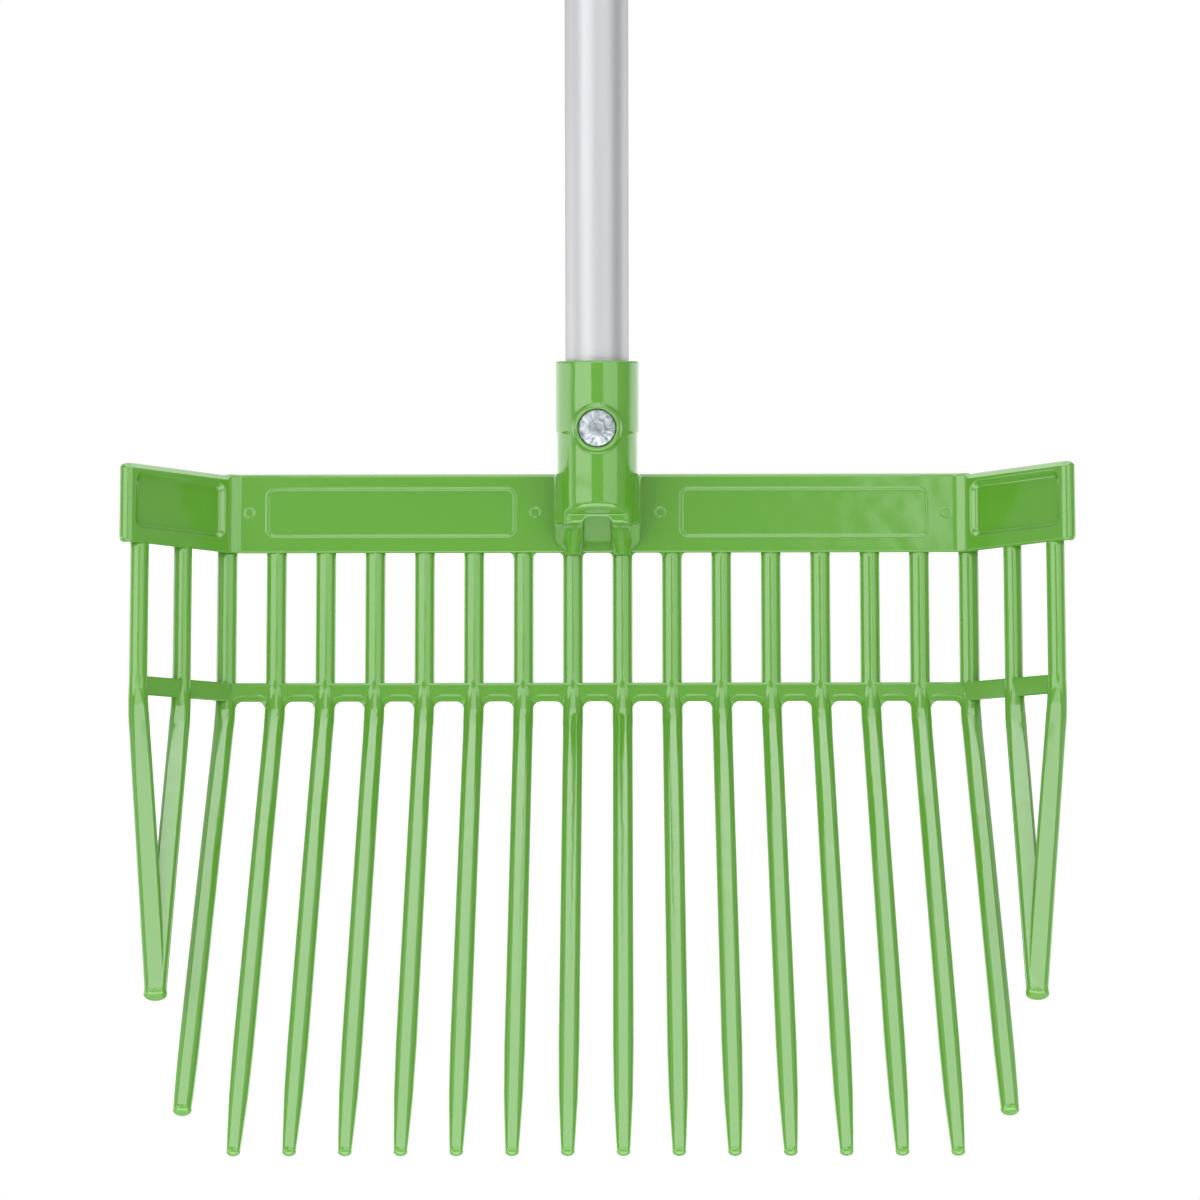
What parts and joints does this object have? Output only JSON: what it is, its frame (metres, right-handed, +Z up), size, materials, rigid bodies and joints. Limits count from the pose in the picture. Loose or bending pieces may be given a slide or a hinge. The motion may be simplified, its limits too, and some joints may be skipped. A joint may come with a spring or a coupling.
{
  "type": "manure fork",
  "caption": "Long handled manure fork: moulded plastic head with a row of bent tines and folded side wings, bolted to a straight aluminium tube shaft.",
  "frame": {"origin": "on the shaft's axis, at the mouth of the socket", "axes": "+Z up along the shaft, away from the head; -Y towards the load side; X across the head"},
  "size_m": [0.382, 0.2051, 1.4416],
  "materials": {
    "head_plastic": "glossy moulded green",
    "cap_plastic": "glossy moulded green",
    "shaft_aluminium": "satin drawn",
    "zinc_steel": "bright zinc plate",
    "nylon": "plain"
  },
  "bodies": {
    "root": {"shaft": "shaft_aluminium", "end_cap": "cap_plastic", "socket": "head_plastic", "clamp_bolt": "zinc_steel", "washer": "zinc_steel", "lock_nut": "zinc_steel", "nut_ring": "nylon", "rail": "head_plastic", "wing_left": "head_plastic", "wing_right": "head_plastic", "cross_rib": "head_plastic", "wing_rib_left": "head_plastic", "wing_rib_right": "head_plastic", "side_tine_left_outer": "head_plastic", "side_tine_left_inner": "head_plastic", "side_tine_right_inner": "head_plastic", "side_tine_right_outer": "head_plastic", "tine_01": "head_plastic", "tine_02": "head_plastic", "tine_03": "head_plastic", "tine_04": "head_plastic", "tine_05": "head_plastic", "tine_06": "head_plastic", "tine_07": "head_plastic", "tine_08": "head_plastic", "tine_09": "head_plastic", "tine_10": "head_plastic", "tine_11": "head_plastic", "tine_12": "head_plastic", "tine_13": "head_plastic", "tine_14": "head_plastic", "tine_15": "head_plastic", "tine_16": "head_plastic"}
  },
  "joints": []
}
